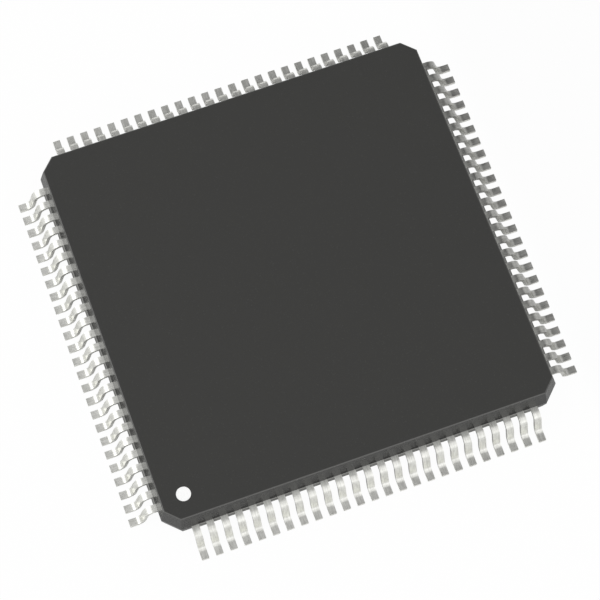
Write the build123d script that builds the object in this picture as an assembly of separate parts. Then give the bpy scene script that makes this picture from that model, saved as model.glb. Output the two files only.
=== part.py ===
from build123d import *
import os
from math import atan2, cos, degrees, hypot, radians, sin, tan

# A 100-lead quad flat package, in millimetres. The origin is under the middle of the
# package, on the plane that the feet stand on. Pin 1 is at the front left corner (-X, -Y)
# and the pins count counter-clockwise, seen from above.

# Leads, stamped from one sheet with the die pad
leads_per_side = 25
leads_per_node = 5
lead_pitch = 0.50
lead_width = 0.25
sheet_thickness = 0.12
lead_reach = 1.0            # from the parting line out to the toe
leg_reach = 0.45            # from the parting line out to the middle of the leg
leg_lean = 15.0             # degrees from upright
bend_radius = 0.20          # inside of each bend
flats_per_outer_bend = 3    # a bend is drawn with flats
flats_per_inner_bend = 2
finger_tip_width = 0.14
finger_tip_margin = 0.08    # from the outermost finger tip to the line of the pad's edge

# Moulded body
row_margin = 1.0            # from the outermost lead to the end of the body's side
body_height = 1.45
standoff = 0.10             # from the feet's plane up to the underside
mould_draft = 12.0          # degrees, on both mould halves
corner_chamfer = 0.53
edge_radius = 0.05          # round the top and the underside
resin_lip = 0.07            # resin left between the leads where the dam bar was

# Pin 1 mark, white ink in a shallow dimple
mark_diameter = 0.50
mark_inset = 0.95           # from the parting line on both sides
dimple_depth = 0.03
ink_thickness = 0.02

# Die pad with its tie bars
pad_width = 6.4
pad_downset = 0.30
pad_gap = 0.45              # from the pad's edge to the finger tips, seen from above
tie_bar_width = 0.30
tie_bar_flat = 0.30         # level stretch past the pad's corner
tie_bar_rise = 0.40         # length over which the bar climbs to the leads
tie_bar_cover = 0.10        # resin over its end at the corner

# Silicon die and its adhesive
die_width = 5.0
die_thickness = 0.28
adhesive_thickness = 0.03
adhesive_margin = 0.05      # squeezed out round the die

# Bond wires
wire_thickness = 0.025
wire_margin = 0.28          # from the outermost wire to the die's side
wire_inset = 0.12           # from the die's edge to the bond
wire_landing = 0.15         # from the finger's tip to the bond
loop_height = 0.16
loop_run = 0.15             # length over which the wire rises from the die

# Sizes and places that follow from these
row_length = lead_pitch * (leads_per_side - 1)
body_width = row_length + 2 * row_margin
finger_tip_pitch = (pad_width - 2 * finger_tip_margin) / (leads_per_side - 1)
wire_pitch = (die_width - 2 * wire_margin) / (leads_per_side - 1)
body_top = standoff + body_height
lead_level = standoff + body_height / 2
lead_top = lead_level + sheet_thickness / 2
lead_bottom = lead_level - sheet_thickness / 2
wall = body_width / 2
finger_tip = pad_width / 2 + pad_gap
pad_level = lead_level - pad_downset
pad_top = pad_level + sheet_thickness / 2
die_bottom = pad_top + adhesive_thickness
die_top = die_bottom + die_thickness
mark_place = wall - mark_inset
tie_bar_end = (2 * wall - corner_chamfer) / 2 ** 0.5 - tie_bar_cover
side_turns = (-90, 0, 90, 180)


def side_view(x, z):
    return Vector(x, 0, z)


def turned_left(direction):
    return Vector(-direction.Z, 0, direction.X)


def beside(before, corner, after, offset):
    """Corner of the line that runs beside a bent path, at an offset to its left."""
    normal_in = turned_left((corner - before).normalized())
    normal_out = turned_left((after - corner).normalized())
    return corner + (normal_in + normal_out) * (offset / (1 + normal_in.dot(normal_out)))


def bend_flats(before, corner, after, radius, flats):
    """Points along the arc that rounds a corner, one more than the flats between them."""
    back = (before - corner).normalized()
    ahead = (after - corner).normalized()
    half_angle = radians(back.get_angle(ahead)) / 2
    middle = (back + ahead).normalized()
    across = (ahead - back).normalized()
    centre = corner + middle * (radius / sin(half_angle))
    turn = radians(90) - half_angle
    angles = [turn * (2 * step / flats - 1) for step in range(flats + 1)]
    return [centre + (across * sin(angle) - middle * cos(angle)) * radius for angle in angles]


def beside_bends(start, first, second, end, offset):
    """Corners of the line beside a sheet that is bent twice and ends level."""
    lift = Vector(0, 0, offset)
    return [start + lift, beside(start, first, second, offset), beside(first, second, end, offset), end + lift]


def strip(outline, width):
    """Solid from a closed outline in the side view, with the outline at its middle."""
    return extrude(Face(Wire(outline)), width / 2, dir=(0, 1, 0), both=True)


def body_plan():
    return chamfer(Rectangle(body_width, body_width).vertices(), corner_chamfer)


def mould_half(plane):
    """Half of the body from the lead sheet outwards, drafted so that it leaves its mould."""
    half = extrude(plane * body_plan(), (body_height - sheet_thickness) / 2)
    walls = half.faces().sort_by(Axis.Z)[1:-1]
    return draft(walls, plane, mould_draft)


def body_shell():
    """Two drafted halves, with the band between them that is as thick as the leads."""
    upper = mould_half(Plane((0, 0, lead_top)))
    lower = mould_half(Plane((0, 0, lead_bottom), z_dir=(0, 0, -1)))
    band = extrude(Plane((0, 0, lead_bottom)) * body_plan(), sheet_thickness)
    shell = upper + band + lower
    flats = shell.faces().sort_by(Axis.Z)
    return fillet(flats[0].edges() + flats[-1].edges(), edge_radius)


def resin_lips():
    """Resin that filled the gaps between the leads, as far out as the dam bar."""
    span = body_width + 2 * resin_lip
    plan = Rectangle(span, row_length) + Rectangle(row_length, span)
    return Pos(0, 0, lead_bottom) * extrude(plan, sheet_thickness)


def pin_one_dimple():
    downward = (Align.CENTER, Align.CENTER, Align.MAX)
    dimple = Cylinder(mark_diameter / 2, dimple_depth, align=downward)
    return Pos(-mark_place, -mark_place, body_top) * dimple


def pin_one_mark():
    upward = (Align.CENTER, Align.CENTER, Align.MIN)
    ink = Cylinder(mark_diameter / 2, ink_thickness, align=upward)
    return Pos(-mark_place, -mark_place, body_top - dimple_depth) * ink


def die_pad():
    """Square pad on four tie bars, which climb to the leads' level and end in the corners."""
    pad = Pos(0, 0, pad_level) * Box(pad_width, pad_width, sheet_thickness)
    corner = pad_width / 2 ** 0.5
    foot_of_rise = corner + tie_bar_flat
    path = (
        side_view(corner - tie_bar_width, pad_level),
        side_view(foot_of_rise, pad_level),
        side_view(foot_of_rise + tie_bar_rise, lead_level),
        side_view(tie_bar_end, lead_level),
    )
    upper = beside_bends(*path, sheet_thickness / 2)
    lower = beside_bends(*path, -sheet_thickness / 2)
    bar = strip(Polyline(*upper, *reversed(lower), close=True), tie_bar_width)
    for turn in side_turns:
        pad += Rot(0, 0, turn + 45) * bar
    return pad


def gull_wing():
    """Shoulder, leg and foot of one lead, outside the body.

    Its bends are short flats along their arcs, true to a hundredth of a millimetre,
    because the shape repeats on every pin.
    """
    foot_level = sheet_thickness / 2
    lean = (lead_level - foot_level) / 2 * tan(radians(leg_lean))
    neck = side_view(wall, lead_level)
    knee = side_view(wall + leg_reach - lean, lead_level)
    heel = side_view(wall + leg_reach + lean, foot_level)
    toe = side_view(wall + lead_reach, foot_level)
    upper = beside_bends(neck, knee, heel, toe, sheet_thickness / 2)
    lower = beside_bends(neck, knee, heel, toe, -sheet_thickness / 2)
    outer_radius = bend_radius + sheet_thickness
    outline = Polyline(
        upper[0],
        *bend_flats(*upper[0:3], outer_radius, flats_per_outer_bend),
        *bend_flats(*upper[1:4], bend_radius, flats_per_inner_bend),
        upper[3],
        lower[3],
        *reversed(bend_flats(*lower[1:4], outer_radius, flats_per_outer_bend)),
        *reversed(bend_flats(*lower[0:3], bend_radius, flats_per_inner_bend)),
        lower[0],
        close=True,
    )
    return strip(outline, lead_width)


def finger_middle(number, reach):
    """Sideways place of a finger's centre line at a distance from the package's centre."""
    share = (reach - finger_tip) / (wall - finger_tip)
    pitch = finger_tip_pitch + (lead_pitch - finger_tip_pitch) * share
    return (number - (leads_per_side - 1) / 2) * pitch


def finger(number):
    """Inner end of one lead, which runs in from the wall to the edge of the die pad."""
    outer = finger_middle(number, wall)
    inner = finger_middle(number, finger_tip)
    plan = Polyline(
        (wall, outer - lead_width / 2, lead_bottom),
        (wall, outer + lead_width / 2, lead_bottom),
        (finger_tip, inner + finger_tip_width / 2, lead_bottom),
        (finger_tip, inner - finger_tip_width / 2, lead_bottom),
        close=True,
    )
    return extrude(Face(Wire(plan)), sheet_thickness, dir=(0, 0, 1))


def side_leads():
    wing = gull_wing()
    return [Pos(0, finger_middle(number, wall), 0) * wing + finger(number) for number in range(leads_per_side)]


def wire_outline(run):
    """Side view of one bond wire, from its foot on the die to the finger below."""
    start = side_view(0, die_top)
    peak = side_view(loop_run, die_top + loop_height)
    end = side_view(run, lead_top)
    half = wire_thickness / 2
    start_cut = Vector(half / sin(atan2(peak.Z - start.Z, peak.X - start.X)), 0, 0)
    end_cut = Vector(half / sin(atan2(peak.Z - end.Z, end.X - peak.X)), 0, 0)
    above = beside(start, peak, end, half)
    below = beside(start, peak, end, -half)
    return Polyline(start - start_cut, above, end + end_cut, end - end_cut, below, start + start_cut, close=True)


def bond_wire(number):
    die_reach = die_width / 2 - wire_inset
    finger_reach = finger_tip + wire_landing
    die_side = (number - (leads_per_side - 1) / 2) * wire_pitch
    finger_side = finger_middle(number, finger_reach)
    forward = finger_reach - die_reach
    sideways = finger_side - die_side
    turn = degrees(atan2(sideways, forward))
    wire = strip(wire_outline(hypot(forward, sideways)), wire_thickness)
    return Pos(die_reach, die_side, 0) * Rot(0, 0, turn) * wire


def side_wires():
    return [bond_wire(number) for number in range(leads_per_side)]


def all_round(side_parts):
    """The parts of one side, repeated on all four in the order of the pins."""
    return [Rot(0, 0, turn) * part for turn in side_turns for part in side_parts]


def node_groups(name, parts):
    """Parts of neighbouring pins, gathered under one name with the pin numbers in it."""
    groups = {}
    for first in range(0, len(parts), leads_per_node):
        members = parts[first:first + leads_per_node]
        groups[f"{name}_{first + 1:03d}_{first + len(members):03d}"] = Compound(children=members)
    return groups


leads = all_round(side_leads())
wires = all_round(side_wires())
pad = die_pad()
adhesive_width = die_width + 2 * adhesive_margin
adhesive = Pos(0, 0, pad_top + adhesive_thickness / 2) * Box(adhesive_width, adhesive_width, adhesive_thickness)
die = Pos(0, 0, die_bottom + die_thickness / 2) * Box(die_width, die_width, die_thickness)
body = body_shell() + resin_lips()
body = body - [pin_one_dimple(), pad, adhesive, die, *leads, *wires]

nodes = {
    "body": body,
    "pin_one_mark": pin_one_mark(),
    "die_pad": pad,
    "die_adhesive": adhesive,
    "die": die,
}
nodes.update(node_groups("leads", leads))
nodes.update(node_groups("bond_wires", wires))

os.makedirs("parts", exist_ok=True)
for name, shape in nodes.items():
    export_step(shape, f"parts/{name}.step")
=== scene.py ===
import bpy
from math import cos, pi, radians, sin, tan
from mathutils import Euler, Matrix, Vector


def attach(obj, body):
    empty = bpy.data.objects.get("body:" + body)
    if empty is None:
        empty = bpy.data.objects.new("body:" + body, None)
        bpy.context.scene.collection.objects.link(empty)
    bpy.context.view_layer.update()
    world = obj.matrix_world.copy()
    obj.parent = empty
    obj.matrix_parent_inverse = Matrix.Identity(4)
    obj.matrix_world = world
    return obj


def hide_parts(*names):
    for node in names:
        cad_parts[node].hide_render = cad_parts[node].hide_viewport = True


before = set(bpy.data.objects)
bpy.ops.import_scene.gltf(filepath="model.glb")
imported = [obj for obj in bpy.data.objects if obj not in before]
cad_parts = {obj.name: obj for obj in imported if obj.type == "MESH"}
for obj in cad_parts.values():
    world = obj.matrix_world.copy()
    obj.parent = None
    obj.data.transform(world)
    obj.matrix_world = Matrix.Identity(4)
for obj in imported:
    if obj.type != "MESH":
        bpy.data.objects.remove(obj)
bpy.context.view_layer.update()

# The moulded body, black epoxy filled with silica. The mould's spark-eroded faces leave the
# top and the underside matt, and the drafted walls, which slide out of it, come out glossier.
# Between the leads a thin lip of resin is left, broken off at its face. The lip's top is
# painted lighter, a painted light against the shade between the leads, and its broken face is
# partly paler broken resin and partly painted light.

mm = 0.001
across, along, up = 0, 1, 2


class Finish:
    """One socket of a material's nodes. Arithmetic on it adds Math nodes."""

    def __init__(self, tree, socket=None):
        self.tree = tree
        self.socket = socket

    def node(self, kind, settings, sockets, result=0):
        """One of the results of a new node with these settings and values or links."""
        made = self.tree.nodes.new(kind)
        for name, value in settings.items():
            setattr(made, name, value)
        for name, value in sockets.items():
            self.feed(made.inputs[name], value)
        return Finish(self.tree, made.outputs[result])

    def feed(self, socket, value):
        """Links a result to a socket, or sets the socket to a plain value."""
        if isinstance(value, Finish):
            self.tree.links.new(value.socket, socket)
        else:
            socket.default_value = value

    def maths(self, operation, first, second=0.0):
        return self.node("ShaderNodeMath", {"operation": operation}, {0: first, 1: second})

    def __add__(self, other):
        return self.maths("ADD", self, other)

    def __radd__(self, other):
        return self.maths("ADD", other, self)

    def __sub__(self, other):
        return self.maths("SUBTRACT", self, other)

    def __rsub__(self, other):
        return self.maths("SUBTRACT", other, self)

    def __mul__(self, other):
        return self.maths("MULTIPLY", self, other)

    def __rmul__(self, other):
        return self.maths("MULTIPLY", other, self)

    def __abs__(self):
        return self.maths("ABSOLUTE", self)

    def step(self, low, high):
        """0 below low and 1 above high, with a soft rise between."""
        ends = {"Value": self, "From Min": low, "From Max": high}
        return self.node("ShaderNodeMapRange", {"interpolation_type": "SMOOTHSTEP"}, ends)

    def between(self, low, high):
        """Low where this is 0 and high where it is 1."""
        return low + self * (high - low)

    def colour(self, low, high):
        """The same for two colours, by a Mix node's own sockets for colours."""
        return self.node("ShaderNodeMix", {"data_type": "RGBA"}, {0: self, 6: low, 7: high}, 2)

    def split(self, vector, axis):
        """One of the three numbers in a vector or a colour."""
        return self.node("ShaderNodeSeparateXYZ", {}, {0: vector}, axis)

    def place(self):
        """Place on the object, in millimetres."""
        coordinates = self.node("ShaderNodeTexCoord", {}, {}, "Object")
        enlarged = {0: coordinates, "Scale": 1.0 / mm}
        return self.node("ShaderNodeVectorMath", {"operation": "SCALE"}, enlarged)

    def facing(self, axis):
        """How far the surface faces along an axis, from -1 to 1."""
        return self.split(self.node("ShaderNodeTexCoord", {}, {}, "Normal"), axis)

    def cloud(self, size, detail=2.0, stretch=(1.0, 1.0, 1.0)):
        """Soft noise from 0 to 1 with patches of about this many millimetres."""
        spread = self.node("ShaderNodeMapping", {}, {"Vector": self.place(), "Scale": stretch})
        patches = {"Vector": spread, "Scale": 1.0 / size, "Detail": detail}
        return self.node("ShaderNodeTexNoise", {}, patches)

    def relief(self, height, depth):
        """Normal of a surface whose grain is this deep, in millimetres."""
        return self.node("ShaderNodeBump", {}, {"Height": height, "Distance": depth * mm})


def principled(name, **constants):
    """A new material with its shader's constants set, and what its nodes are made with."""
    material = bpy.data.materials.new(name)
    material.use_nodes = True
    shader = material.node_tree.nodes["Principled BSDF"]
    for socket, value in constants.items():
        shader.inputs[socket.replace("_", " ")].default_value = value
    return material, shader, Finish(material.node_tree)


def coat_with(material, *names):
    """Gives CAD nodes this material."""
    for name in names:
        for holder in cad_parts[name].material_slots:
            holder.material = material


wall_out = 7.0
lip_top_begins = (wall_out + 0.001, wall_out + 0.004)
lip_face_begins = (wall_out + 0.025, wall_out + 0.045)
rounded_edge_levels = (0.25, 0.45)
flat_face_levels = (0.97, 0.995)
speck_size = 0.045
blotch_size = 0.9
smear_size = 0.16
fine_pit_size = 0.05
coarse_pit_size = 0.14
grain_depth = 0.004
face_black = (0.0332, 0.0332, 0.0312, 1.0)
wall_black = (0.026, 0.026, 0.025, 1.0)
silica_speck = (0.075, 0.075, 0.072, 1.0)
# Painted highlight: the rounded edges' lighter grey stands in for the highlight line along them.
painted_edge_highlight = (0.12, 0.12, 0.115, 1.0)
# The lip's top colour is painted light against the shade between the leads; its broken face is
# partly paler resin and partly painted light.
painted_light_on_lip = (0.34, 0.34, 0.325, 1.0)
broken_resin_and_painted_light = (0.20, 0.20, 0.19, 1.0)

epoxy, shader, of = principled("moulded_epoxy", Specular_IOR_Level=0.36)
level = abs(of.facing(up))
flat_face = level.step(*flat_face_levels)
edge_highlight_mask = (1 - flat_face) * level.step(*rounded_edge_levels)
outermost = of.maths("MAXIMUM", abs(of.split(of.place(), across)), abs(of.split(of.place(), along)))
painted_lip_crest = outermost.step(*lip_top_begins)
broken_and_painted_lip_front = outermost.step(*lip_face_begins)
specks = of.cloud(speck_size, 1.0).step(0.62, 0.80)
blotches = of.cloud(blotch_size, 3.0)
smears = of.cloud(smear_size, 2.0, (1.0, 1.0, 0.45))
ground = flat_face.colour(wall_black, face_black)
# Painted highlight on the rounded edges.
ground = (edge_highlight_mask * 0.8).colour(ground, painted_edge_highlight)
# Painted light: the lip's top is painted pale grey to lift the shade between the leads.
ground = painted_lip_crest.colour(ground, painted_light_on_lip)
# The lip's broken face: paler broken resin, lifted further by painted light.
ground = broken_and_painted_lip_front.colour(ground, broken_resin_and_painted_light)
ground = (specks * 0.35 + (blotches - 0.5) * 0.12).colour(ground, silica_speck)
of.feed(shader.inputs["Base Color"], ground)
wall_gloss = smears.between(0.20, 0.32)
face_gloss = blotches.between(0.58, 0.70)
of.feed(shader.inputs["Roughness"], wall_gloss + flat_face * (face_gloss - wall_gloss))
grain = of.cloud(fine_pit_size, 2.0) * 0.7 + of.cloud(coarse_pit_size, 1.0) * 0.6
of.feed(shader.inputs["Normal"], of.relief(grain * flat_face.between(0.35, 1.0), grain_depth))
coat_with(epoxy, "body")

# The pin 1 mark, white epoxy ink that fills most of the shallow dimple. It dries a little
# uneven, with fine pits where the mould's grain shows through.

ink_pit_size = 0.035
ink_grain_size = 0.05
ink_grain_depth = 0.002
pitted_white = (0.95, 0.95, 0.94, 1.0)
solid_white = (0.99, 0.99, 0.985, 1.0)

ink, shader, of = principled("marking_ink", Specular_IOR_Level=0.3)
cover = of.cloud(ink_pit_size, 2.0).step(0.30, 0.45)
of.feed(shader.inputs["Base Color"], cover.colour(pitted_white, solid_white))
of.feed(shader.inputs["Roughness"], cover.between(0.70, 0.52))
of.feed(shader.inputs["Normal"], of.relief(of.cloud(ink_grain_size, 2.0), ink_grain_depth))
coat_with(ink, "pin_one_mark")

# The leads, 25 on each side, stamped from copper alloy sheet, bent to a gull's wing and
# plated with matt tin. Each goes on inside the resin as a finger towards the die pad. The
# reaches are measured from the wall, and the leg's goes to the middle of its slope.

leads_per_side = 25
leads_per_group = 5
lead_pitch = 0.50 * mm
lead_width = 0.25 * mm
sheet = 0.12 * mm
lead_level = 0.825 * mm
wall = wall_out * mm
lead_reach = 1.0 * mm
leg_reach = 0.45 * mm
leg_turn = radians(75)
bend_radius = 0.20 * mm
bend_steps = 6
smooth_turn = radians(30)
weld_distance = 1e-7
finger_tip = 3.65 * mm
finger_tip_pitch = 0.26 * mm
finger_tip_width = 0.14 * mm
turn_of_rows = {"front": -90, "right": 0, "back": 90, "left": 180}

middle_radius = bend_radius + sheet / 2
tangent = middle_radius * tan(leg_turn / 2)
drop = lead_level - sheet / 2
leg_run = drop / sin(leg_turn)
leg_slope = leg_run * cos(leg_turn)
shoulder = leg_reach - leg_slope / 2 - tangent
heel = wall + leg_reach + leg_slope / 2 + tangent
foot = lead_reach - leg_reach - leg_slope / 2 - tangent


def flat_run(length, down):
    """Draws the selected end of the strip out in a straight line, at this angle downwards."""
    step = (length * cos(down), 0.0, -length * sin(down))
    bpy.ops.mesh.extrude_region_move(TRANSFORM_OT_translate={"value": step})


def bend(centre_x, centre_z, turn):
    """Winds the selected end of the strip round a forming tool."""
    centre = (centre_x, 0.0, centre_z)
    bpy.ops.mesh.spin(steps=bend_steps, angle=-turn, center=centre, axis=(0.0, 1.0, 0.0))


bpy.ops.object.select_all(action="DESELECT")
finger_middle = ((finger_tip + wall) / 2, 0, lead_level)
finger_size = (wall - finger_tip, lead_width, sheet)
bpy.ops.mesh.primitive_cube_add(size=1, location=finger_middle, scale=finger_size)
pattern = bpy.context.object
bpy.ops.object.transform_apply(location=True, rotation=True, scale=True)
bpy.ops.object.mode_set(mode="EDIT")
bpy.ops.mesh.select_all(action="DESELECT")
bpy.ops.object.mode_set(mode="OBJECT")
for face in pattern.data.polygons:
    face.select = face.normal.x > 0.9
bpy.ops.object.mode_set(mode="EDIT")
bpy.ops.mesh.select_mode(type="FACE")
flat_run(shoulder, 0.0)
bend(wall + shoulder, lead_level - middle_radius, leg_turn)
flat_run(leg_run - 2 * tangent, leg_turn)
bend(heel, sheet / 2 + middle_radius, -leg_turn)
flat_run(foot, 0.0)
bpy.ops.mesh.select_all(action="SELECT")
bpy.ops.mesh.remove_doubles(threshold=weld_distance)
bpy.ops.mesh.normals_make_consistent(inside=False)
bpy.ops.object.mode_set(mode="OBJECT")
bpy.ops.object.shade_smooth_by_angle(angle=smooth_turn)
pattern.modifiers.new("flat_runs_stay_flat", "WEIGHTED_NORMAL").keep_sharp = True
bpy.ops.object.modifier_apply(modifier="flat_runs_stay_flat")

crystal_size = 0.022
patch_size = 0.20
streak_size = 0.028
along_streak = 0.08
wave_size = 0.08
tin_grain_depth = 0.0012
corner_blend = 0.01
dull_tin = (0.66, 0.66, 0.625, 1.0)
bright_tin = (0.90, 0.90, 0.86, 1.0)

tin, shader, of = principled("matt_tin", Metallic=1.0)
crystals = of.cloud(crystal_size, 2.0)
patches = of.cloud(patch_size, 2.0)
nearer_side = abs(of.split(of.place(), across)) - abs(of.split(of.place(), along))
on_left_or_right = nearer_side.step(-corner_blend, corner_blend)
drawn_across = of.cloud(streak_size, 2.0, (along_streak, 1.0, along_streak))
drawn_along = of.cloud(streak_size, 2.0, (1.0, along_streak, along_streak))
streaks = drawn_along + on_left_or_right * (drawn_across - drawn_along)
tone = (crystals * 0.2 + patches * 0.3 + streaks * 0.5).step(0.34, 0.66)
of.feed(shader.inputs["Base Color"], tone.colour(dull_tin, bright_tin))
of.feed(shader.inputs["Roughness"], (crystals * 0.4 + patches * 0.6).between(0.22, 0.37))
grain = crystals * 0.6 + streaks * 0.8 + of.cloud(wave_size, 1.0)
of.feed(shader.inputs["Normal"], of.relief(grain, tin_grain_depth))
pattern.data.materials.append(tin)


def fanned_lead(number):
    """One copy of the lead at its place in the row, with its finger turned to its own tip."""
    lead = pattern.copy()
    lead.data = pattern.data.copy()
    bpy.context.collection.objects.link(lead)
    from_middle = number - (leads_per_side - 1) / 2
    for corner in lead.data.vertices:
        if corner.co.x < finger_tip + sheet:
            narrowed = corner.co.y * finger_tip_width / lead_width
            corner.co.y = narrowed + from_middle * finger_tip_pitch
        else:
            corner.co.y += from_middle * lead_pitch
    return lead


for row, turn in enumerate(turn_of_rows.values()):
    for first in range(0, leads_per_side, leads_per_group):
        bpy.ops.object.select_all(action="DESELECT")
        members = [fanned_lead(first + number) for number in range(leads_per_group)]
        for lead in members:
            lead.select_set(True)
        group = members[0]
        bpy.context.view_layer.objects.active = group
        bpy.ops.object.join()
        group.data.transform(Matrix.Rotation(radians(turn), 4, "Z"))
        pin = row * leads_per_side + first + 1
        pins = f"{pin:03d}_{pin + leads_per_group - 1:03d}"
        group.name = f"tinned_leads_{pins}"
        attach(group, "root")
        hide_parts(f"leads_{pins}")
bpy.data.objects.remove(pattern)

# The die pad on its four tie bars, stamped from the same sheet as the leads but left bare,
# so it is copper inside the resin, faintly rolled and tarnished.

rolling_size = 0.03
tarnish_size = 1.2
rolling_depth = 0.0015
fresh_copper = (0.90, 0.52, 0.36, 1.0)
tarnished_copper = (0.62, 0.33, 0.22, 1.0)

copper, shader, of = principled("bare_copper", Metallic=1.0)
rolling = of.cloud(rolling_size, 3.0, (0.04, 1.0, 1.0))
tarnish = of.cloud(tarnish_size, 4.0).step(0.35, 0.75)
of.feed(shader.inputs["Base Color"], tarnish.colour(fresh_copper, tarnished_copper))
of.feed(shader.inputs["Roughness"], 0.24 + rolling * 0.16 + tarnish * 0.14)
of.feed(shader.inputs["Normal"], of.relief(rolling, rolling_depth))
coat_with(copper, "die_pad")

# The adhesive between the die and its pad, epoxy filled with silver flakes, which squeezes
# out a little round the die and cures grey.

flake_size = 0.03
paste_lump_size = 0.06
paste_lump_depth = 0.004
cured_grey = (0.33, 0.33, 0.32, 1.0)
silver_flake = (0.66, 0.66, 0.65, 1.0)

paste, shader, of = principled("silver_filled_adhesive", Metallic=0.35)
flakes = of.cloud(flake_size, 2.0).step(0.45, 0.70)
of.feed(shader.inputs["Base Color"], flakes.colour(cured_grey, silver_flake))
of.feed(shader.inputs["Roughness"], flakes.between(0.62, 0.38))
of.feed(shader.inputs["Normal"], of.relief(of.cloud(paste_lump_size, 2.0), paste_lump_depth))
coat_with(paste, "die_adhesive")

# The die, sawn from a polished silicon wafer. Its top carries the circuit under clear
# passivation, in blocks too fine to see one by one, and its sides show the saw's marks.

block_size = 0.625
saw_mark_size = 0.01
sawn_silicon = (0.13, 0.13, 0.14, 1.0)
bluish_block = (0.16, 0.17, 0.22, 1.0)
brownish_block = (0.30, 0.27, 0.24, 1.0)

silicon, shader, of = principled("patterned_silicon", Specular_IOR_Level=0.8)
die_top = of.facing(up).step(0.5, 0.9)
block_pattern = {"Vector": of.place(), "Scale": 1.0 / block_size}
blocks = of.node("ShaderNodeTexVoronoi", {"distance": "CHEBYCHEV"}, block_pattern, "Color")
circuit = of.split(blocks, 0).colour(bluish_block, brownish_block)
saw_marks = of.cloud(saw_mark_size, 2.0, (0.05, 0.05, 1.0))
of.feed(shader.inputs["Base Color"], die_top.colour(sawn_silicon, circuit))
of.feed(shader.inputs["Metallic"], die_top.between(0.3, 0.6))
of.feed(shader.inputs["Roughness"], saw_marks.between(0.30, 0.45) - die_top * 0.18)
coat_with(silicon, "die")

# The bond wires, drawn gold, one from the die to each finger. Drawing leaves them bright,
# with a faint ripple along them.

ripple_size = 0.02
deep_gold = (0.95, 0.68, 0.28, 1.0)
pale_gold = (1.0, 0.77, 0.37, 1.0)

gold, shader, of = principled("drawn_gold", Metallic=1.0)
ripple = of.cloud(ripple_size, 2.0)
of.feed(shader.inputs["Base Color"], ripple.colour(deep_gold, pale_gold))
of.feed(shader.inputs["Roughness"], ripple.between(0.16, 0.26))
coat_with(gold, *[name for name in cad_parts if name.startswith("bond_wires")])

# The surface that the package stands on, a wide sheet of plain card. The camera sees it as
# almost plain white with a faint shadow. Reflections mostly see the card itself, which has
# painted shade from the right row's toes outwards: it is painted grey there to darken what
# the right row's leads reflect.

card_width = 6.0
fibre_size = 0.4
painted_shade_begins = (7.7, 8.9)
plain_white = (1.0, 1.0, 1.0, 1.0)
share_of_white_seen = 0.97
share_of_white_reflected = 0.08

bpy.ops.object.select_all(action="DESELECT")
bpy.ops.mesh.primitive_plane_add(size=card_width, location=(0, 0, 0))
floor = bpy.context.object
floor.name = "white_card"
card, shader, of = principled("white_card", Roughness=0.9, Specular_IOR_Level=0.1)
fibres = of.cloud(fibre_size, 3.0)
white_card = fibres.colour((0.83, 0.83, 0.82, 1.0), (0.85, 0.85, 0.84, 1.0))
# Painted shade: the card is painted grey past the right row, darkening the right row's reflections.
painted_shade_card = fibres.colour((0.43, 0.43, 0.44, 1.0), (0.45, 0.45, 0.46, 1.0))
painted_shade_on_right = of.split(of.place(), across).step(*painted_shade_begins)
of.feed(shader.inputs["Base Color"], painted_shade_on_right.colour(white_card, painted_shade_card))
seen = of.node("ShaderNodeLightPath", {}, {}, "Is Camera Ray")
reflected = of.node("ShaderNodeLightPath", {}, {}, "Is Glossy Ray")
through = of.node("ShaderNodeLightPath", {}, {}, "Is Transmission Ray")
share = seen * share_of_white_seen + (reflected + through) * share_of_white_reflected
lit_card = Finish(card.node_tree, shader.outputs[0])
white = of.node("ShaderNodeEmission", {}, {"Color": plain_white, "Strength": 1.0})
surface = of.node("ShaderNodeMixShader", {}, {0: share, 1: lit_card, 2: white})
of.feed(card.node_tree.nodes["Material Output"].inputs["Surface"], surface)
floor.data.materials.append(card)

# The white room round the package, dimmer overhead and darkest on the right and behind, and
# its soft lamps: one in front, one on either side and one at the ceiling. The ceiling lamp
# lights the package but doesn't show in reflections.

overhead_begins = (0.40, 0.90)
unlit_side_begins = (0.19, 0.34)
unlit_towards_right = 0.95
unlit_towards_back = 0.30
room_light = 0.92
overhead_light = 0.60
light_lost_on_unlit_side = 0.60
lamp_distance = 0.25

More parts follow.
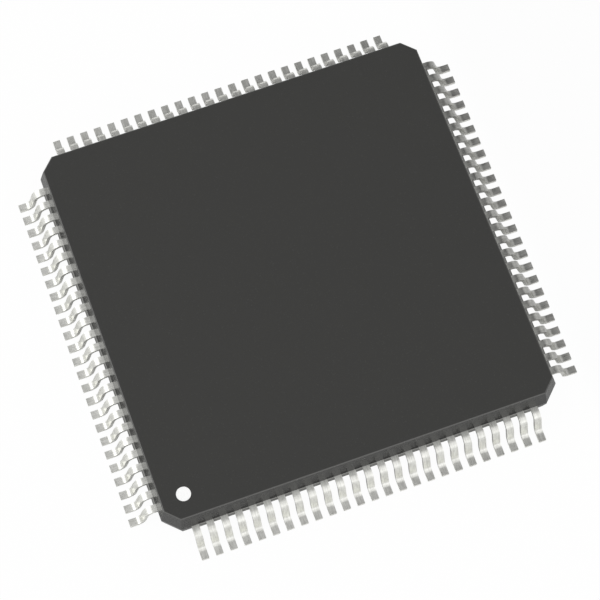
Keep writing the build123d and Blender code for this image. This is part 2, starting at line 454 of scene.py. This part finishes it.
world = bpy.data.worlds.new("white_room")
bpy.context.scene.world = world
world.use_nodes = True
room = Finish(world.node_tree)
direction = room.node("ShaderNodeTexCoord", {}, {}, "Generated")
right, back, height = [room.split(direction, axis) for axis in (across, along, up)]
overhead = height.step(*overhead_begins)
unlit_side = (right * unlit_towards_right + back * unlit_towards_back).step(*unlit_side_begins)
brightness = overhead.between(room_light, overhead_light) - unlit_side * light_lost_on_unlit_side
background = world.node_tree.nodes["Background"]
room.feed(background.inputs["Strength"], brightness)
room.feed(background.inputs["Color"], plain_white)


def facing_package(azimuth, elevation):
    """Turn of a lamp or a camera that stands this way from the package and looks at it."""
    return Euler((radians(90 - elevation), 0, radians(azimuth)))


def softbox(name, radiance, size, azimuth, elevation):
    """A square soft lamp that faces the package, as bright as this per unit of its face."""
    light = bpy.data.lights.new(name, "AREA")
    light.shape = "SQUARE"
    light.size = size
    light.energy = radiance * pi * size * size
    lamp = bpy.data.objects.new(name, light)
    bpy.context.collection.objects.link(lamp)
    lamp.rotation_euler = facing_package(azimuth, elevation)
    lamp.location = lamp.rotation_euler.to_matrix() @ Vector((0, 0, lamp_distance))
    return lamp


softbox("key", radiance=0.36, size=0.32, azimuth=28, elevation=48)
softbox("left_fill", radiance=1.15, size=0.20, azimuth=-108, elevation=48)
softbox("right_fill", radiance=0.38, size=0.28, azimuth=75, elevation=36)
ceiling = softbox("ceiling_fill", radiance=0.45, size=0.30, azimuth=0, elevation=88)
ceiling.visible_glossy = False

# The camera stands in front and to the left, high over the package, as far away as the
# photograph's perspective says, with a long lens.

aim = Vector((-0.0563, -0.7233, 0.80)) * mm
azimuth = -20.258
elevation = 69.927
roll = 0.399
distance = 86.273 * mm
camera_data = bpy.data.cameras.new("camera")
camera_data.lens = 152.1
camera_data.sensor_width = 36.0
camera_data.clip_start = 0.001
camera_data.clip_end = 20.0
camera = bpy.data.objects.new("camera", camera_data)
bpy.context.collection.objects.link(camera)
upright = facing_package(azimuth, elevation).to_matrix()
turned = upright @ Matrix.Rotation(radians(roll), 3, "Z")
camera.location = aim + turned @ Vector((0, 0, distance))
camera.rotation_euler = turned.to_euler()
bpy.context.scene.camera = camera
bpy.context.scene.view_settings.view_transform = "Standard"
